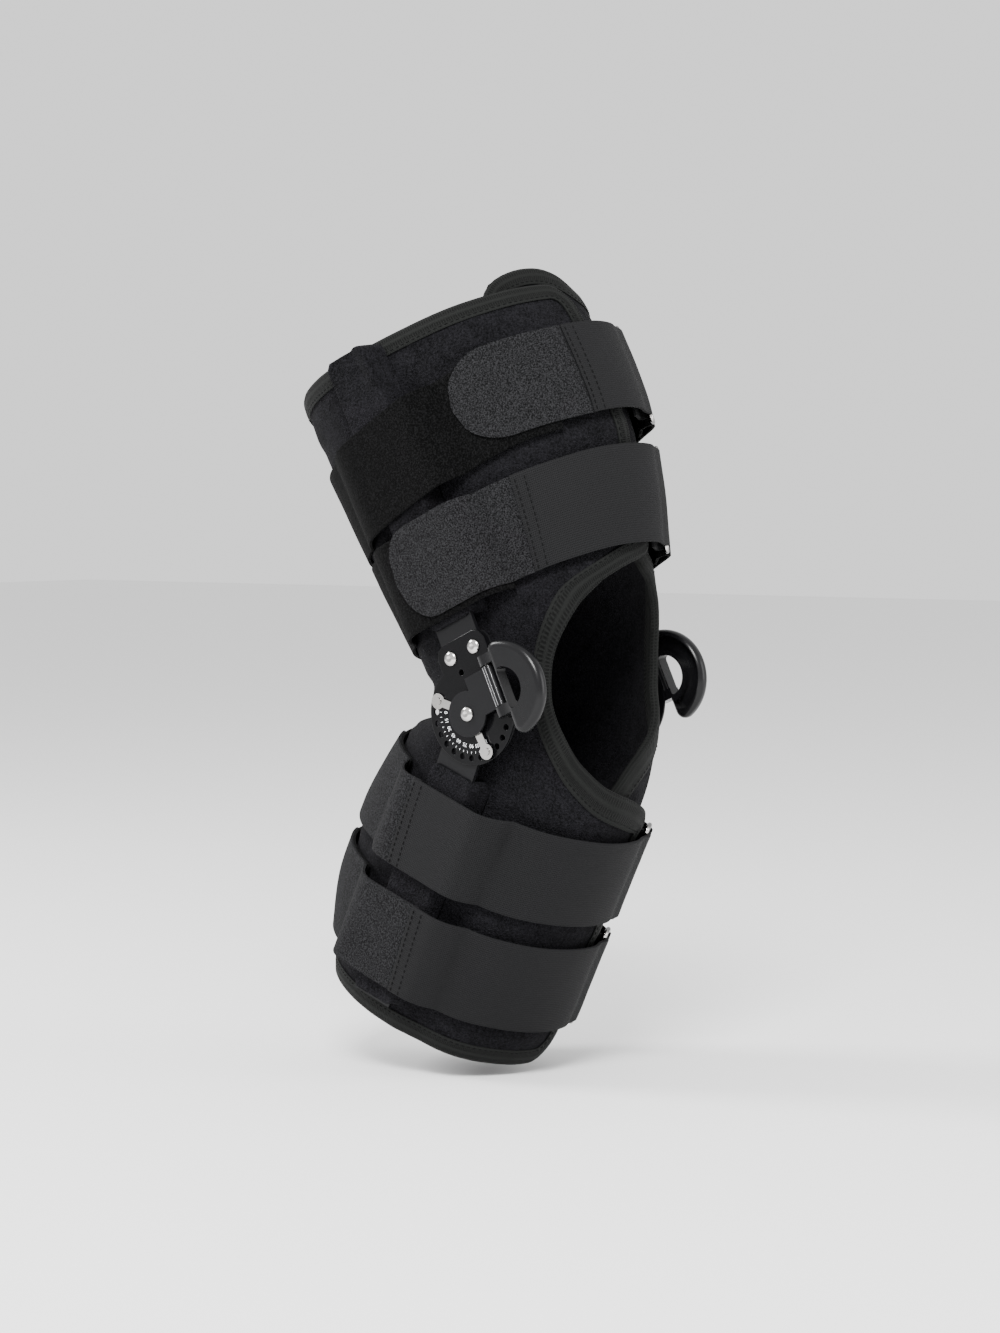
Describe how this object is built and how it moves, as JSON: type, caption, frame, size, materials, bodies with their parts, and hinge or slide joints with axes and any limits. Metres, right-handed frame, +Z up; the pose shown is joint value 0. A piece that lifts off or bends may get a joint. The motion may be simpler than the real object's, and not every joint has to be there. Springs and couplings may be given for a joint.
{
  "type": "knee immobilizer",
  "caption": "Black hinged range-of-motion knee brace worn bent: padded wrap with kneecap opening, dial hinges with lock handles on flat arms, ring straps.",
  "frame": {"origin": "centre of the bent knee, midway between the two hinge pivots", "axes": "+Z up along the standing leg, -Y to the front of the knee, -X to the lateral side"},
  "size_m": [0.1776, 0.218, 0.4445],
  "materials": {
    "wrap_fabric": "brushed loop fabric over foam",
    "edge_tape": "ribbed woven tape",
    "loop_band": "dense loop pile",
    "elastic_band": "fine woven elastic",
    "hook_tab": "woven hook tape",
    "coated_metal": "satin black coating",
    "dial_black": "glossy black",
    "handle_plastic": "moulded black",
    "bright_steel": "bright nickel"
  },
  "bodies": {
    "root": {"wrap": "wrap_fabric", "edge_tape": "edge_tape", "arm_thigh_lateral": "coated_metal", "arm_calf_lateral": "coated_metal", "pocket_thigh_lateral": "wrap_fabric", "pocket_calf_lateral": "wrap_fabric", "back_plate_lateral": "coated_metal", "dial_plate_lateral": "dial_black", "cover_plate_lateral": "coated_metal", "handle_pin_lateral": "bright_steel", "pivot_rivet_lateral": "bright_steel", "arm_rivet_rear_lateral": "bright_steel", "arm_rivet_front_lateral": "bright_steel", "arm_thigh_medial": "coated_metal", "arm_calf_medial": "coated_metal", "pocket_thigh_medial": "wrap_fabric", "pocket_calf_medial": "wrap_fabric", "back_plate_medial": "coated_metal", "dial_plate_medial": "dial_black", "cover_plate_medial": "coated_metal", "handle_pin_medial": "bright_steel", "pivot_rivet_medial": "bright_steel", "arm_rivet_rear_medial": "bright_steel", "arm_rivet_front_medial": "bright_steel", "strap_base_thigh_upper": "loop_band", "strap_top_thigh_upper": "elastic_band", "strap_tab_thigh_upper": "hook_tab", "strap_ring_thigh_upper": "bright_steel", "strap_base_thigh_lower": "loop_band", "strap_top_thigh_lower": "elastic_band", "strap_tab_thigh_lower": "hook_tab", "strap_ring_thigh_lower": "bright_steel", "strap_base_calf_upper": "loop_band", "strap_top_calf_upper": "elastic_band", "strap_tab_calf_upper": "hook_tab", "strap_ring_calf_upper": "bright_steel", "strap_base_calf_lower": "loop_band", "strap_top_calf_lower": "elastic_band", "strap_tab_calf_lower": "hook_tab", "strap_ring_calf_lower": "bright_steel"},
    "stop_pointer_upper_lateral": {"stop_pointer_upper_lateral": "bright_steel"},
    "stop_pointer_lower_lateral": {"stop_pointer_lower_lateral": "bright_steel"},
    "lock_handle_lateral": {"lock_handle_lateral": "handle_plastic"},
    "stop_pointer_upper_medial": {"stop_pointer_upper_medial": "bright_steel"},
    "stop_pointer_lower_medial": {"stop_pointer_lower_medial": "bright_steel"},
    "lock_handle_medial": {"lock_handle_medial": "handle_plastic"}
  },
  "joints": [
    {"name": "stop_pointer_upper_lateral_turn", "type": "hinge", "parent": "root", "child": "stop_pointer_upper_lateral", "pos_m": [-0.073, 0, 0], "axis": [-1, 0, 0], "range_deg": [0, 60]},
    {"name": "stop_pointer_lower_lateral_turn", "type": "hinge", "parent": "root", "child": "stop_pointer_lower_lateral", "pos_m": [-0.073, 0, 0], "axis": [-1, 0, 0], "range_deg": [-45, 0]},
    {"name": "lock_handle_lateral_turn", "type": "hinge", "parent": "root", "child": "lock_handle_lateral", "pos_m": [-0.07635, -0.02175, 0.01014], "axis": [0, -0.4226, -0.9063], "range_deg": [0, 100]},
    {"name": "stop_pointer_upper_medial_turn", "type": "hinge", "parent": "root", "child": "stop_pointer_upper_medial", "pos_m": [0.073, 0, 0], "axis": [-1, 0, 0], "range_deg": [0, 60]},
    {"name": "stop_pointer_lower_medial_turn", "type": "hinge", "parent": "root", "child": "stop_pointer_lower_medial", "pos_m": [0.073, 0, 0], "axis": [-1, 0, 0], "range_deg": [-45, 0]},
    {"name": "lock_handle_medial_turn", "type": "hinge", "parent": "root", "child": "lock_handle_medial", "pos_m": [0.07635, -0.02175, 0.01014], "axis": [0, 0.4226, 0.9063], "range_deg": [0, 100]}
  ]
}
